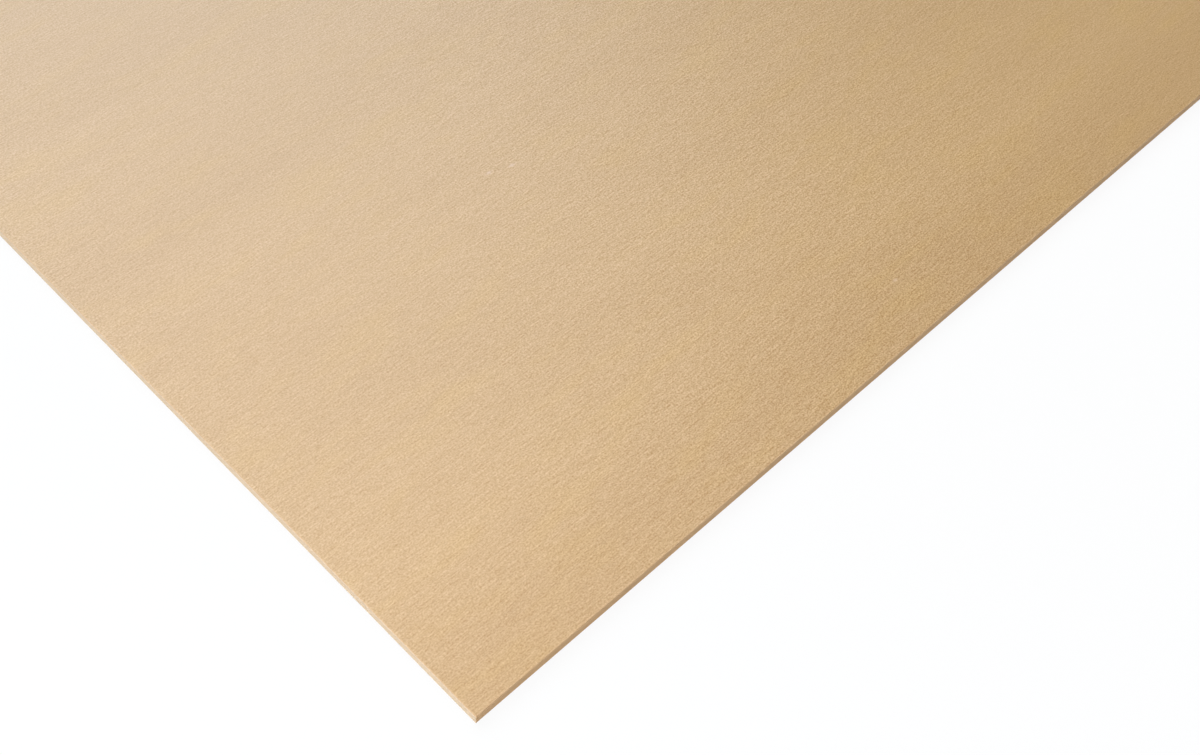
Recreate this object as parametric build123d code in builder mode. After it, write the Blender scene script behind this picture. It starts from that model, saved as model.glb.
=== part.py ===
# Plywood sheet: a panel of thin plywood, sawn square and lying flat
# Millimetres. +X runs with the face grain, along the long side, +Y across it and +Z up.
# The origin is on the underside, at its middle.
import os

from build123d import *

# Driving dimensions
sheet_length = 1220.0  # along the face grain
sheet_width = 610.0  # across the face grain
sheet_thickness = 4.0
edge_arris = 0.2  # the sawn edges of both faces, eased by a light stroke of abrasive

os.makedirs("parts", exist_ok=True)

# The sheet: one glued board, its four sides sawn square to its faces
with BuildPart() as plywood_sheet:
    with BuildSketch(Plane.XY):
        Rectangle(sheet_length, sheet_width)
    extrude(amount=sheet_thickness)
    # The outline of each face loses its sharp arris, and the four upright corners stay crisp
    chamfer(plywood_sheet.faces().filter_by(Axis.Z).edges(), length=edge_arris)

plywood_sheet.part.label = "plywood_sheet"
export_step(plywood_sheet.part, "parts/plywood_sheet.step")
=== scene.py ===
import math

import bmesh
import bpy
from mathutils import Matrix, Vector


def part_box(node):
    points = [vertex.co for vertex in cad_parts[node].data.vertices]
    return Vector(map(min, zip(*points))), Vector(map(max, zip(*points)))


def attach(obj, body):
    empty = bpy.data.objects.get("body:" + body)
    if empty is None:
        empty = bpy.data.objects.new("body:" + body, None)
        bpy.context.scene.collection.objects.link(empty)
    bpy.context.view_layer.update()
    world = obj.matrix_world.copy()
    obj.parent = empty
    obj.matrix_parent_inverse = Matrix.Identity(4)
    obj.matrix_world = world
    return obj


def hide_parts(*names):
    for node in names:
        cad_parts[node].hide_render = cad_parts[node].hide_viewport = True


# A sheet of thin plywood lying flat: +X with the face grain, +Y across it, +Z up, in metres
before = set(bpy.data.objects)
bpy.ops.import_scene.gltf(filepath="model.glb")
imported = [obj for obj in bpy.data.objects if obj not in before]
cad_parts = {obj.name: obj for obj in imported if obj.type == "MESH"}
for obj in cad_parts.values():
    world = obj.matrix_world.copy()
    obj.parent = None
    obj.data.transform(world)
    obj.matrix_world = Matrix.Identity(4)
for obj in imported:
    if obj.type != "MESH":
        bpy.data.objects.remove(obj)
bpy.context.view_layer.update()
sheetLow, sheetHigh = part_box("plywood_sheet")  # sheetLow is the near corner, on the floor
sheetSize = sheetHigh - sheetLow
sheetMiddle = (sheetLow + sheetHigh) / 2
scene = bpy.context.scene
scene.view_settings.view_transform = "Standard"
print("frame: sheet of", [round(side * 1000, 2) for side in sheetSize], "mm")


# Shader maths: a Wire is one socket's value, and sums on it add Math nodes
class Wire:
    def __init__(self, finish, socket):
        self.finish = finish
        self.socket = socket

    def sum(self, operation, first, second=0.0):
        return self.finish.node("ShaderNodeMath", {"operation": operation}, {0: first, 1: second})

    def __add__(self, other):
        return self.sum("ADD", self, other)

    def __radd__(self, other):
        return self.sum("ADD", other, self)

    def __sub__(self, other):
        return self.sum("SUBTRACT", self, other)

    def __rsub__(self, other):
        return self.sum("SUBTRACT", other, self)

    def __mul__(self, other):
        return self.sum("MULTIPLY", self, other)

    def __rmul__(self, other):
        return self.sum("MULTIPLY", other, self)

    def __abs__(self):
        return self.sum("ABSOLUTE", self)

    def least(self, other):
        return self.sum("MINIMUM", self, other)

    def most(self, other):
        return self.sum("MAXIMUM", self, other)

    def overflow(self):
        return self.sum("FRACT", self)

    def sine(self):
        return self.sum("SINE", self)

    # 0 below start and 1 above end, easing between them; start may be the larger of the two
    def step(self, start, end):
        return self.finish.node(
            "ShaderNodeMapRange",
            {"interpolation_type": "SMOOTHSTEP", "clamp": True},
            {"Value": self, "From Min": start, "From Max": end, "To Min": 0.0, "To Max": 1.0},
        )


class Finish:
    drift = (1.0, 1.7, 0.6)  # how a pattern's shift is spread over X, Y and Z

    def __init__(self, tree):
        self.tree = tree

    def feed(self, socket, value):
        if isinstance(value, Wire):
            self.tree.links.new(value.socket, socket)
        else:
            socket.default_value = value

    def node(self, kind, settings=None, sockets=None, output=0):
        made = self.tree.nodes.new(kind)
        for name, value in (settings or {}).items():
            setattr(made, name, value)
        for name, value in (sockets or {}).items():
            self.feed(made.inputs[name], value)
        return Wire(self, made.outputs[output])

    def place(self):
        return self.node("ShaderNodeTexCoord", output="Object")

    def parts(self, vector):
        split = self.node("ShaderNodeSeparateXYZ", {}, {"Vector": vector}).socket.node
        return [Wire(self, split.outputs[axis]) for axis in "XYZ"]

    def blend(self, factor, first, second, how="MIX"):
        settings = {"data_type": "RGBA", "blend_type": how, "clamp_factor": True}
        return self.node("ShaderNodeMix", settings, {0: factor, 6: first, 7: second}, output=2)

    # Noise in cells of the given size in metres, moved by shifts in cells; about -0.5 to 0.5
    def mottle(self, place, cell, shift=0.0, detail=0.0, rough=0.5, aside=0.0):
        scale = [1 / side for side in cell]
        alongX, alongY, alongZ = (shift * share for share in self.drift)
        sockets = {"Vector": place, "Scale": scale, "Location": (alongX, alongY + aside, alongZ)}
        moved = self.node("ShaderNodeMapping", {}, sockets)
        sockets = {"Vector": moved, "Scale": 1.0, "Detail": detail, "Roughness": rough}
        return self.node("ShaderNodeTexNoise", {}, sockets) - 0.5

    # Short lines along X, each pale on one side and dark on the other: partly fibre, partly painted relief
    # shading as from a light on one side
    def shadedHatching(self, place, cell, shift, apart):
        return self.mottle(place, cell, shift, aside=apart) - self.mottle(place, cell, shift, aside=-apart)


def newFinish(name):
    material = bpy.data.materials.new(name)
    material.use_nodes = True
    finish = Finish(material.node_tree)
    return material, finish, material.node_tree.nodes["Principled BSDF"]


def colour(linear):
    return (*linear, 1.0)


# A face of the sheet: a rotary-cut veneer, sanded, with its fibre along X
# Cells are the length along the fibre, the width across it and the depth, in metres
# Detail is how many finer layers a pattern has, then how strong they are
faceLook = {
    "pale": (0.693, 0.460, 0.221), "deep": (0.604, 0.380, 0.168), "warm": (0.670, 0.434, 0.166),
    "band": (0.560, 0.038, 0.038), "bandDetail": (5.0, 0.62), "bandBy": 0.65,  # broad stripes
    "streak": (0.060, 0.0052, 0.0052), "streakDetail": (2.0, 0.6), "streakBy": 0.38,  # narrow ones
    "ringField": (1.60, 0.42, 0.42), "ringDetail": (2.0, 0.3), "rings": 16.0,
    "lateWood": 0.82, "ringMean": 0.2, "ringBy": 0.22,  # faint contours of the peeled log
    "warmth": (0.036, 0.012, 0.012), "warmDetail": (2.0, 0.6),
    "warmStart": -0.05, "warmEnd": 0.25, "warmBy": 0.45,  # patches of warmer wood
    "swim": (0.080, 0.016, 0.016), "swimDetail": 3.0, "swimBy": 0.0032,  # how the fibre's lines wander
    "fibre": (0.0045, 0.00042, 0.00042), "fibreBy": 0.29,  # long fine lines
    "cornerFibreBy": 0.29, "cornerReach": 0.30,  # which show more towards the corners
    "hatch": (0.0024, 0.00066, 0.00066), "hatchApart": 0.3, "hatchBy": 0.37,  # the short ones between them, whose pale and dark sides are partly painted relief shading
    "swath": 0.40, "swathSlant": 0.35, "swathStart": 0.09, "swathBy": 0.29,  # where sanding leaves more
    "nap": (0.00060, 0.00044, 0.00044), "napBy": 1.30,  # the short fuzz that sanding leaves
    "shadeDark": (0.80, 0.68, 0.47), "shadePale": (1.20, 1.32, 1.53),  # what these multiply the tone by
    "pores": (0.0026, 0.00050, 0.00050), "poreStart": 0.14, "poreEnd": 0.30, "poreBy": 0.12,
    "pore": (0.455, 0.270, 0.124), "poreDepth": 0.3,
    "paintedSideShade": (0.940, 0.920, 0.900), "sideShadeReach": 0.050,  # painted shade: a little darker towards the long sides
    "worn": (0.745, 0.505, 0.297), "wornWidth": 0.0006, "wornBy": 0.5,  # the rubbed outline
    # Small pale rubs: along and across from the near corner, and half their length
    "scuffs": ((0.1398, 0.1370, 0.0028), (0.1318, 0.1395, 0.0026), (0.1989, 0.0196, 0.0022)),
    "scuff": (0.800, 0.600, 0.400), "scuffNarrow": 2.0, "scuffBy": 0.60,
    "roughness": 0.387, "roughSwing": 0.08, "matt": 0.7,
    "relief": 0.00003, "reliefBy": 0.5, "shift": 3.0,
}
# The underside is another sheet of the same veneer, a little deeper and without rubs
backLook = dict(
    faceLook, pale=(0.670, 0.440, 0.210), deep=(0.570, 0.358, 0.155),
    ringBy=0.30, roughness=0.46, shift=41.0, scuffs=(),
)


def makeVeneer(name, look):
    material, finish, shader = newFinish(name)
    place = finish.place()
    x, y, z = finish.parts(place)
    shift = look["shift"]
    fromEnd = sheetSize.x / 2 - abs(x)
    fromSide = sheetSize.y / 2 - abs(y)
    # The fibre isn't ruler straight: its lines swim a little across the sheet
    swim = finish.mottle(place, look["swim"], shift, look["swimDetail"]) * look["swimBy"]
    grain = finish.node("ShaderNodeCombineXYZ", {}, {"X": x, "Y": y + swim, "Z": z})
    band = finish.mottle(grain, look["band"], shift + 1, *look["bandDetail"])
    streak = finish.mottle(grain, look["streak"], shift + 2, *look["streakDetail"])
    warmth = finish.mottle(grain, look["warmth"], shift + 3, *look["warmDetail"])
    fibre = finish.mottle(grain, look["fibre"], shift + 4)
    nap = finish.mottle(grain, look["nap"], shift + 5)
    speck = finish.mottle(grain, look["pores"], shift + 6)
    field = finish.mottle(grain, look["ringField"], shift + 7, *look["ringDetail"])
    hatch = finish.shadedHatching(grain, look["hatch"], shift + 8, look["hatchApart"])
    # Each year's wood deepens slowly to its late wood and ends there
    year = (field * look["rings"]).overflow()
    ring = year * year * year.step(1.0, look["lateWood"]) - look["ringMean"]
    pore = speck.step(look["poreStart"], look["poreEnd"])
    tone = 0.5 + band * look["bandBy"] + streak * look["streakBy"] - ring * look["ringBy"]
    body = finish.blend(tone, colour(look["deep"]), colour(look["pale"]))
    warm = warmth.step(look["warmStart"], look["warmEnd"])
    body = finish.blend(warm * look["warmBy"], body, colour(look["warm"]))
    slant = x - sheetLow.x - look["swathStart"] - (y - sheetLow.y) * look["swathSlant"]
    swath = 1.0 + (slant * (2 * math.pi / look["swath"])).sine() * look["swathBy"]
    byCorner = (fromEnd + fromSide).step(look["cornerReach"], 0.0)
    raised = look["fibreBy"] + byCorner * look["cornerFibreBy"]
    fine = (fibre * raised + hatch * look["hatchBy"] + nap * look["napBy"]) * swath
    # The fine pattern multiplies the tone; the hatching's pale and dark sides are painted relief shading
    shade = finish.blend(0.5 + fine, colour(look["shadeDark"]), colour(look["shadePale"]))
    body = finish.blend(1.0, body, shade, how="MULTIPLY")
    body = finish.blend(pore * look["poreBy"], body, colour(look["pore"]))
    # Painted shade: the tone is darkened towards the two long sides
    bySideShade = fromSide.step(look["sideShadeReach"], 0.0)
    body = finish.blend(bySideShade, body, colour(look["paintedSideShade"]), how="MULTIPLY")
    # Sanding has rubbed the outline of the face a little paler
    worn = fromEnd.least(fromSide).step(look["wornWidth"], 0.0)
    body = finish.blend(worn * look["wornBy"], body, colour(look["worn"]))
    for along, across, reach in look["scuffs"]:
        fromMiddle = abs(x - (sheetLow.x + along)) + abs(y - (sheetLow.y + across)) * look["scuffNarrow"]
        body = finish.blend(fromMiddle.step(reach, 0.0) * look["scuffBy"], body, colour(look["scuff"]))
    finish.feed(shader.inputs["Base Color"], body)
    finish.feed(shader.inputs["Roughness"], look["roughness"] - fine * look["roughSwing"])
    height = fine - pore * look["poreDepth"]
    sockets = {"Height": height, "Distance": look["relief"], "Strength": look["reliefBy"]}
    finish.feed(shader.inputs["Normal"], finish.node("ShaderNodeBump", {}, sockets))
    shader.inputs["Diffuse Roughness"].default_value = look["matt"]
    return material


# The sawn edges: three plies and two glue lines, with the middle ply's fibre across the others'
edgeLook = {
    "outerPly": 0.0012,  # the thickness of each outer ply; the middle one has the rest
    "dark": (0.470, 0.285, 0.125), "glue": (0.420, 0.255, 0.120),
    "glueWidth": 0.00010, "glueBy": 0.35, "glueDepth": 0.6,
    "longCell": (0.0050, 0.00030), "longDetail": 2.0, "longBy": 0.55,  # fibre seen along its length
    "endCell": (0.00022, 0.00022, 0.00022), "endDetail": 1.0, "endBy": 0.75,  # and cut across
    "sawCell": (0.00060, 0.0040), "sawDetail": 1.0, "sawBy": 0.20, "darkBy": 0.22,
    "roughness": 0.62, "roughSwing": 0.15, "matt": 0.7,
    "relief": 0.00003, "reliefBy": 0.5, "shift": 17.0,
}
# The ends are paler and greyer than the long edges: partly their end grain, partly painted light for the
# light the ends catch
endLookPaintedLight = dict(edgeLook, outer=(0.620, 0.500, 0.355), middle=(0.600, 0.475, 0.335))
sideLook = dict(edgeLook, outer=(0.656, 0.397, 0.184), middle=(0.625, 0.375, 0.169))
glueHeights = (sheetLow.z + edgeLook["outerPly"], sheetHigh.z - edgeLook["outerPly"])


# On the long edges, along X, the outer plies show their fibre's length; on the ends, along Y, its ends
def makeSawnEdge(name, look, alongGrain):
    material, finish, shader = newFinish(name)
    place = finish.place()
    z = finish.parts(place)[2]
    lowGlue, highGlue = glueHeights
    soft = look["glueWidth"]
    inMiddle = z.step(lowGlue - soft, lowGlue + soft) * z.step(highGlue + soft, highGlue - soft)
    glue = abs(z - lowGlue).least(abs(z - highGlue)).step(soft, 0.0)
    run, thick = look["longCell"]
    saw, tall = look["sawCell"]
    longCell = (run, thick, thick) if alongGrain else (thick, run, thick)
    lengthwise = finish.mottle(place, longCell, look["shift"], look["longDetail"]) * look["longBy"]
    endways = finish.mottle(place, look["endCell"], look["shift"] + 1, look["endDetail"]) * look["endBy"]
    sawn = finish.mottle(place, (saw, saw, tall), look["shift"] + 2, look["sawDetail"]) * look["sawBy"]
    outerGrain, middleGrain = (lengthwise, endways) if alongGrain else (endways, lengthwise)
    grain = outerGrain + (middleGrain - outerGrain) * inMiddle
    body = finish.blend(inMiddle, colour(look["outer"]), colour(look["middle"]))
    sunken = (look["darkBy"] - grain - sawn).most(0.0)
    body = finish.blend(sunken, body, colour(look["dark"]))
    body = finish.blend(glue * look["glueBy"], body, colour(look["glue"]))
    finish.feed(shader.inputs["Base Color"], body)
    finish.feed(shader.inputs["Roughness"], look["roughness"] - grain * look["roughSwing"])
    height = grain + sawn - glue * look["glueDepth"]
    sockets = {"Height": height, "Distance": look["relief"], "Strength": look["reliefBy"]}
    finish.feed(shader.inputs["Normal"], finish.node("ShaderNodeBump", {}, sockets))
    shader.inputs["Diffuse Roughness"].default_value = look["matt"]
    return material


finishes = [
    makeVeneer("faceVeneer", faceLook),
    makeVeneer("backVeneer", backLook),
    makeSawnEdge("sawnEnd", endLookPaintedLight, alongGrain=False),
    makeSawnEdge("sawnSide", sideLook, alongGrain=True),
]
faceSlot, backSlot, endSlot, sideSlot = range(len(finishes))
print("finishes:", [material.name for material in finishes])


# The sheet itself: sawn square, its arrises eased, its glue lines a hair below the sawn plies
sheetMake = {
    "arris": 0.0002, "arrisSegments": 3, "glueSink": 0.00004,
    "cutReach": 1e-7,  # how near a cut a corner counts as on it
    "faceSlope": 0.5,  # what is turned up or down more than this is veneer, and the rest is sawn edge
}


def buildSheet(make, look):
    mesh = bmesh.new()
    bmesh.ops.create_cube(mesh, size=1.0)
    bmesh.ops.scale(mesh, vec=sheetSize, verts=mesh.verts)
    bmesh.ops.translate(mesh, vec=sheetMiddle, verts=mesh.verts)
    outline = [edge for edge in mesh.edges if abs(edge.verts[0].co.z - edge.verts[1].co.z) < make["arris"]]
    bmesh.ops.bevel(
        mesh, geom=outline, offset=make["arris"], offset_type="OFFSET", affect="EDGES",
        segments=make["arrisSegments"], profile=0.5, material=-1, clamp_overlap=True,
    )
    for glueHeight in glueHeights:
        for away in (-look["glueWidth"], look["glueWidth"], 0.0):
            everything = mesh.verts[:] + mesh.edges[:] + mesh.faces[:]
            level = Vector((0.0, 0.0, glueHeight + away))
            cut = bmesh.ops.bisect_plane(
                mesh, geom=everything, dist=make["cutReach"], plane_co=level, plane_no=(0, 0, 1),
            )
        # The last cut is the glue line's own middle, and it sinks in from all four sides
        line = [item for item in cut["geom_cut"] if isinstance(item, bmesh.types.BMVert)]
        sink = [1 - 2 * make["glueSink"] / sheetSize.x, 1 - 2 * make["glueSink"] / sheetSize.y, 1.0]
        bmesh.ops.scale(mesh, vec=sink, verts=line)
    bmesh.ops.recalc_face_normals(mesh, faces=mesh.faces)
    for face in mesh.faces:
        if abs(face.normal.z) > make["faceSlope"]:
            face.material_index = faceSlot if face.normal.z > 0 else backSlot
        else:
            face.material_index = endSlot if abs(face.normal.x) > abs(face.normal.y) else sideSlot
    data = bpy.data.meshes.new("plywoodSheet")
    mesh.to_mesh(data)
    mesh.free()
    for material in finishes:
        data.materials.append(material)
    piece = bpy.data.objects.new("plywoodSheet", data)
    scene.collection.objects.link(piece)
    return piece


sheet = buildSheet(sheetMake, edgeLook)
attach(sheet, "root")
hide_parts("plywood_sheet")
print("sheet:", len(sheet.data.polygons), "faces")


# The camera: the sheet's near corner shows at a known place in the picture, at a known distance
cameraView = {
    "pictureWide": 1200.0, "pictureTall": 755.0, "lens": 48.0, "sensor": 36.0, "nearest": 0.01,
    "elevation": 54.492, "azimuth": -50.246, "roll": 6.862,
    "cornerAcross": 475.84, "cornerDown": 723.58, "cornerDepth": 0.422,
}


def placeCamera(view):
    turn, lift, roll = (math.radians(view[name]) for name in ("azimuth", "elevation", "roll"))
    back = Vector((math.sin(turn) * math.cos(lift), -math.cos(turn) * math.cos(lift), math.sin(lift)))
    level = Vector((math.cos(turn), math.sin(turn), 0.0))
    rise = back.cross(level)
    right = math.cos(roll) * level + math.sin(roll) * rise
    up = math.cos(roll) * rise - math.sin(roll) * level
    perPixel = view["cornerDepth"] * view["sensor"] / (view["lens"] * view["pictureWide"])
    across = (view["cornerAcross"] - view["pictureWide"] / 2) * perPixel
    down = (view["cornerDown"] - view["pictureTall"] / 2) * perPixel
    eye = sheetLow - right * across + up * down + back * view["cornerDepth"]
    data = bpy.data.cameras.new("camera")
    data.lens = view["lens"]
    data.sensor_width = view["sensor"]
    data.sensor_fit = "HORIZONTAL"
    data.clip_start = view["nearest"]
    camera = bpy.data.objects.new("camera", data)
    camera.matrix_world = Matrix.Translation(eye) @ Matrix((right, up, back)).transposed().to_4x4()
    scene.collection.objects.link(camera)
    scene.camera = camera


placeCamera(cameraView)
print("camera placed")


# A round white floor with a low wall, far out, so that the ground stays white in low views too
# Under the sheet it is open, so that the underside can be looked at from below
studio = {
    "radius": 7.0, "wall": 2.6, "sides": 96, "drop": 0.0001, "ledge": 0.002,
    "white": 0.8, "evenness": 0.93,  # how much of the seen ground is plain white, without shadow
}


def buildStudio(make):
    mesh = bmesh.new()
    bmesh.ops.create_circle(mesh, cap_ends=False, radius=make["radius"], segments=make["sides"])
    rim = mesh.edges[:]
    opening = bmesh.ops.create_grid(mesh, x_segments=1, y_segments=1, size=0.5)["verts"]
    ledge = Vector((2 * make["ledge"], 2 * make["ledge"], 0.0))
    bmesh.ops.scale(mesh, vec=sheetSize - ledge, verts=opening)
    bmesh.ops.delete(mesh, geom=mesh.faces[:], context="FACES_ONLY")
    bmesh.ops.triangle_fill(mesh, use_beauty=True, edges=mesh.edges[:], normal=(0.0, 0.0, 1.0))
    bmesh.ops.translate(mesh, vec=(0.0, 0.0, sheetLow.z - make["drop"]), verts=mesh.verts)
    wall = bmesh.ops.extrude_edge_only(mesh, edges=rim)
    raised = [item for item in wall["geom"] if isinstance(item, bmesh.types.BMVert)]
    bmesh.ops.translate(mesh, vec=(0.0, 0.0, make["wall"]), verts=raised)
    data = bpy.data.meshes.new("studioFloor")
    mesh.to_mesh(data)
    mesh.free()
    material, finish, shader = newFinish("studioWhite")
    shader.inputs["Base Color"].default_value = colour([make["white"]] * 3)
    shader.inputs["Roughness"].default_value = 1.0
    shader.inputs["Specular IOR Level"].default_value = 0.0
    path = finish.node("ShaderNodeLightPath", output="Is Camera Ray")
    rays = path.socket.node.outputs
    seen = path.most(Wire(finish, rays["Is Glossy Ray"])).most(Wire(finish, rays["Is Transmission Ray"]))
    glow = finish.node("ShaderNodeEmission", {}, {"Color": colour([1.0] * 3), "Strength": 1.0})
    sockets = {0: seen * make["evenness"], 1: Wire(finish, shader.outputs[0]), 2: glow}
    surface = finish.node("ShaderNodeMixShader", {}, sockets)
    output = material.node_tree.nodes["Material Output"]
    finish.feed(output.inputs["Surface"], surface)
    data.materials.append(material)
    floor = bpy.data.objects.new("studioFloor", data)
    scene.collection.objects.link(floor)
    return floor


buildStudio(studio)
print("studio built")


# Soft light: a wide window beyond the sheet, a soft box and a low strip on its left, a fill over its far end
# Heights and bearings are in degrees, up from level and round from +X; places are from the near corner
lamps = {
    "window": 3.65, "windowWide": 59.0, "windowHeight": 43.31, "windowBearing": 77.73,
    "windowTint": (0.915, 1.00, 1.09),
    "box": 1.81, "boxAway": (-0.417, -0.100, 0.322), "boxAim": (0.10, 0.10, 0.0), "boxSize": (0.36, 0.26),
    "strip": 6.00, "stripAway": (-1.30, 0.10, 0.16), "stripAim": (0.0, 0.10, 0.0), "stripSize": (1.00, 0.26),
    "fill": 0.50, "fillAway": (0.92, 0.42, 1.10), "fillAim": (0.92, 0.42, 0.0), "fillSize": (0.70, 0.45),
    "fillSpread": 48.0,  # the fill lights the far end of the sheet and stops short of the near corner
    "under": 2.60, "underWide": 60.0,  # reaches only the underside
    "room": 0.090,  # plain light from all round
}


def addLamp(name, kind, energy, toward):
    data = bpy.data.lights.new(name, kind)
    data.energy = energy
    lamp = bpy.data.objects.new(name, data)
    lamp.rotation_euler = toward.to_track_quat("Z", "Y").to_euler()
    lamp.visible_camera = False
    scene.collection.objects.link(lamp)
    return lamp


height = math.radians(lamps["windowHeight"])
bearing = math.radians(lamps["windowBearing"])
level = math.cos(height)
outward = Vector((math.cos(bearing) * level, math.sin(bearing) * level, math.sin(height)))
window = addLamp("window", "SUN", lamps["window"], outward)
window.data.angle = math.radians(lamps["windowWide"])
window.data.color = lamps["windowTint"]
under = addLamp("under", "SUN", lamps["under"], Vector((0.0, 0.0, -1.0)))
under.data.angle = math.radians(lamps["underWide"])
for name in ("box", "strip", "fill"):
    away, aim = Vector(lamps[name + "Away"]), Vector(lamps[name + "Aim"])
    lamp = addLamp(name, "AREA", lamps[name], away - aim)
    lamp.location = sheetLow + away
    lamp.data.shape = "RECTANGLE"
    lamp.data.size, lamp.data.size_y = lamps[name + "Size"]
    lamp.data.spread = math.radians(lamps.get(name + "Spread", 180.0))
    lamp.visible_glossy = name != "fill"  # the fill leaves no glare on the face
room = bpy.data.worlds.new("room")
room.use_nodes = True
room.node_tree.nodes["Background"].inputs["Color"].default_value = (1.0, 1.0, 1.0, 1.0)
room.node_tree.nodes["Background"].inputs["Strength"].default_value = lamps["room"]
scene.world = room
print("light set")
